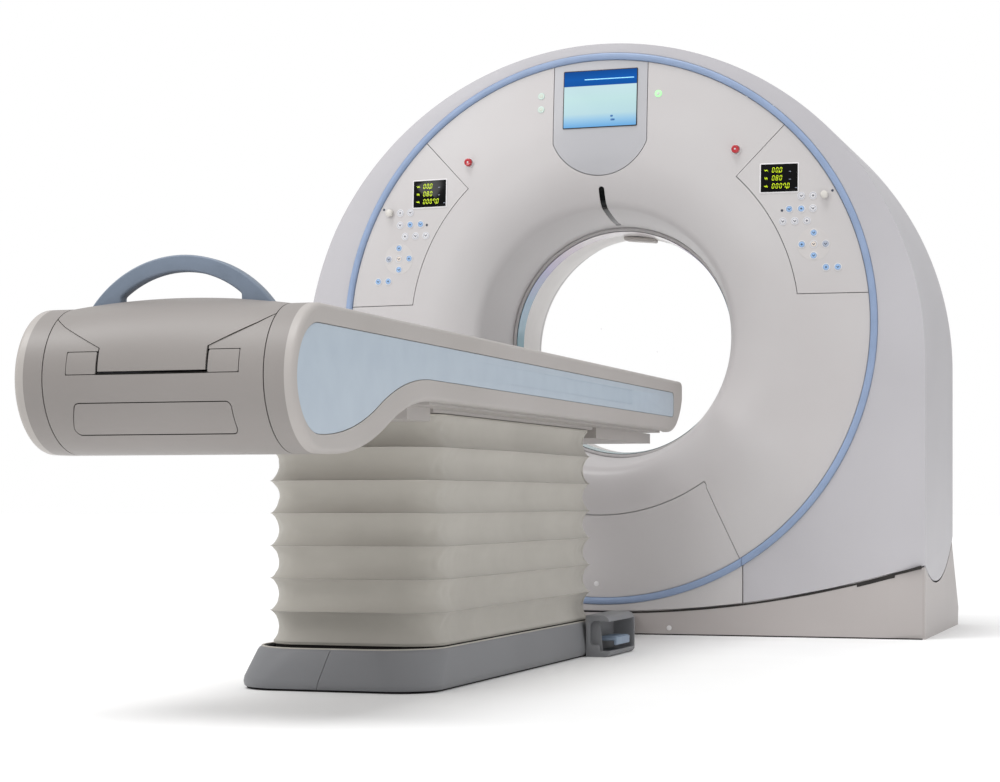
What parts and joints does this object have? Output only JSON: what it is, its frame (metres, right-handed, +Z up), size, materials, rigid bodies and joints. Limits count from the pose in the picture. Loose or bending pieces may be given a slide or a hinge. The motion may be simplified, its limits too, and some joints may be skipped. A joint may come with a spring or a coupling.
{
  "type": "computed tomography scanner",
  "caption": "Ring gantry with flared round bore, control panels and rotating scan ring, tilting on a floor base, with a lifting patient couch on pleated bellows and a sliding cradle tabletop.",
  "frame": {"origin": "on the floor, straight below the point where the tilt axis and the rotor axis cross; it is the middle of the gantry's four anchor holes", "axes": "+X to the right as seen from the couch, +Y from the couch through the bore, +Z up"},
  "size_m": [2.206, 4.3696, 2.031],
  "materials": {
    "white_cover": "warm light grey, satin paint",
    "shroud_cover": "light grey, satin paint",
    "blue_trim": "light steel blue, satin",
    "window_strip": "thin translucent sheet with a faint sheen",
    "liner_grey": "light grey",
    "dark_window": "dark tinted, glossy",
    "screen_glass": "black, glossy",
    "key_mix": "membrane keys, white and pale blue",
    "lamp_green": "translucent",
    "stop_red": "red, glossy",
    "knob_ivory": "ivory",
    "pod_grey": "mid grey",
    "steel_frame": "grey paint",
    "bearing_steel": "machined",
    "rotor_metal": "machined",
    "tube_metal": "dark grey paint",
    "base_cover": "light grey, satin paint",
    "couch_beige": "beige grey, satin paint",
    "drum_grey": "warm mid grey, satin paint",
    "inlay_blue": "pale blue grey",
    "handle_blue": "slate blue, satin",
    "plinth_grey": "mid grey, satin",
    "bellows_cloth": "greige coated cloth, matte",
    "pedal_blue": "blue grey",
    "table_carbon": "dark grey"
  },
  "bodies": {
    "floor_base": {"gantry_base_frame": "steel_frame", "base_apron": "base_cover", "base_side_cover_left": "base_cover", "base_side_cover_right": "base_cover", "base_rear_cover": "base_cover", "tilt_stands": "steel_frame", "tilt_drive": "tube_metal", "link_cover": "base_cover", "couch_base_plate": "steel_frame", "couch_plinth": "plinth_grey", "pedal_housings": "plinth_grey", "lift_drive": "tube_metal", "bellows": "bellows_cloth"},
    "gantry_body": {"tilt_frame": "steel_frame", "main_bearing": "bearing_steel", "front_cover": "white_cover", "lower_front_cover": "white_cover", "trim_ring": "blue_trim", "shroud": "shroud_cover", "rear_cover": "white_cover", "bore_liner": "liner_grey", "scan_window": "window_strip", "screen_panel": "white_cover", "screen": "screen_glass", "operation_panels": "white_cover", "digit_displays": "screen_glass", "keypads": "key_mix", "laser_window": "dark_window", "light_pod": "pod_grey", "status_lamps": "lamp_green", "brush_block": "tube_metal"},
    "rotor_body": {"rotor": "rotor_metal", "slip_ring": "bearing_steel", "x_ray_tube": "tube_metal", "collimator": "tube_metal", "high_voltage_units": "tube_metal", "detector": "rotor_metal", "tube_cooler": "tube_metal", "counterweight": "steel_frame"},
    "stop_left": {"stop_button_left": "stop_red"},
    "stop_right": {"stop_button_right": "stop_red"},
    "knob_left": {"push_knob_left": "knob_ivory"},
    "knob_right": {"push_knob_right": "knob_ivory"},
    "couch_top": {"couch_frame": "steel_frame", "side_cover_left": "couch_beige", "side_cover_right": "couch_beige", "side_inlays": "inlay_blue", "foot_caps": "couch_beige", "foot_cover": "drum_grey", "service_panel": "drum_grey", "latch_panels": "drum_grey", "frame_pan": "steel_frame"},
    "tabletop": {"tabletop_cradle": "table_carbon", "tabletop_end_cover": "drum_grey", "tabletop_handle": "handle_blue", "tabletop_carriage": "rotor_metal"},
    "arm_lower": {"scissor_arm_lower": "steel_frame"},
    "arm_upper": {"scissor_arm_upper": "steel_frame"},
    "foot_pedal_left": {"pedal_left": "pedal_blue"},
    "foot_pedal_right": {"pedal_right": "pedal_blue"}
  },
  "joints": [
    {"name": "gantry_tilt", "type": "hinge", "parent": "floor_base", "child": "gantry_body", "pos_m": [0, 0, 1.022], "axis": [-1, 0, 0], "range_deg": [-20, 20]},
    {"name": "rotor_spin", "type": "hinge", "parent": "gantry_body", "child": "rotor_body", "pos_m": [0, 0, 1.022], "axis": [0, 1, 0], "continuous": true},
    {"name": "couch_lift", "type": "slide", "parent": "floor_base", "child": "couch_top", "axis": [0, 0, 1], "range_m": [-0.48, 0], "deforming": ["bellows"]},
    {"name": "tabletop_slide", "type": "slide", "parent": "couch_top", "child": "tabletop", "axis": [0, 1, 0], "range_m": [0, 1.6]},
    {"name": "stop_left_press", "type": "slide", "parent": "gantry_body", "child": "stop_left", "axis": [0, 1, 0], "range_m": [0, 0.004], "stiffness_N_per_m": 600},
    {"name": "stop_right_press", "type": "slide", "parent": "gantry_body", "child": "stop_right", "axis": [0, 1, 0], "range_m": [0, 0.004], "stiffness_N_per_m": 600},
    {"name": "knob_left_press", "type": "slide", "parent": "gantry_body", "child": "knob_left", "axis": [0, 1, 0], "range_m": [0, 0.003], "stiffness_N_per_m": 400},
    {"name": "knob_right_press", "type": "slide", "parent": "gantry_body", "child": "knob_right", "axis": [0, 1, 0], "range_m": [0, 0.003], "stiffness_N_per_m": 400},
    {"name": "arm_lower_hinge", "type": "hinge", "parent": "floor_base", "child": "arm_lower", "pos_m": [0, -2.52, 0.062], "axis": [1, 0, 0], "range_deg": [-27.52, 0]},
    {"name": "arm_upper_hinge", "type": "hinge", "parent": "couch_top", "child": "arm_upper", "pos_m": [0, -2.52, 0.612], "axis": [1, 0, 0], "range_deg": [0, 27.52]},
    {"name": "pedal_left_press", "type": "hinge", "parent": "floor_base", "child": "foot_pedal_left", "pos_m": [-0.271, -1.285, 0.05], "axis": [0, 1, 0], "range_deg": [-8, 0], "stiffness_Nm_per_rad": 6, "springref_deg": 11.46},
    {"name": "pedal_right_press", "type": "hinge", "parent": "floor_base", "child": "foot_pedal_right", "pos_m": [0.271, -1.285, 0.05], "axis": [0, 1, 0], "range_deg": [0, 8], "stiffness_Nm_per_rad": 6, "springref_deg": -11.46}
  ],
  "couplings": [
    {"joint": "arm_lower_hinge", "follows": "couch_lift", "rad_per_m": 0.9988},
    {"joint": "arm_upper_hinge", "follows": "couch_lift", "rad_per_m": -0.9988}
  ]
}
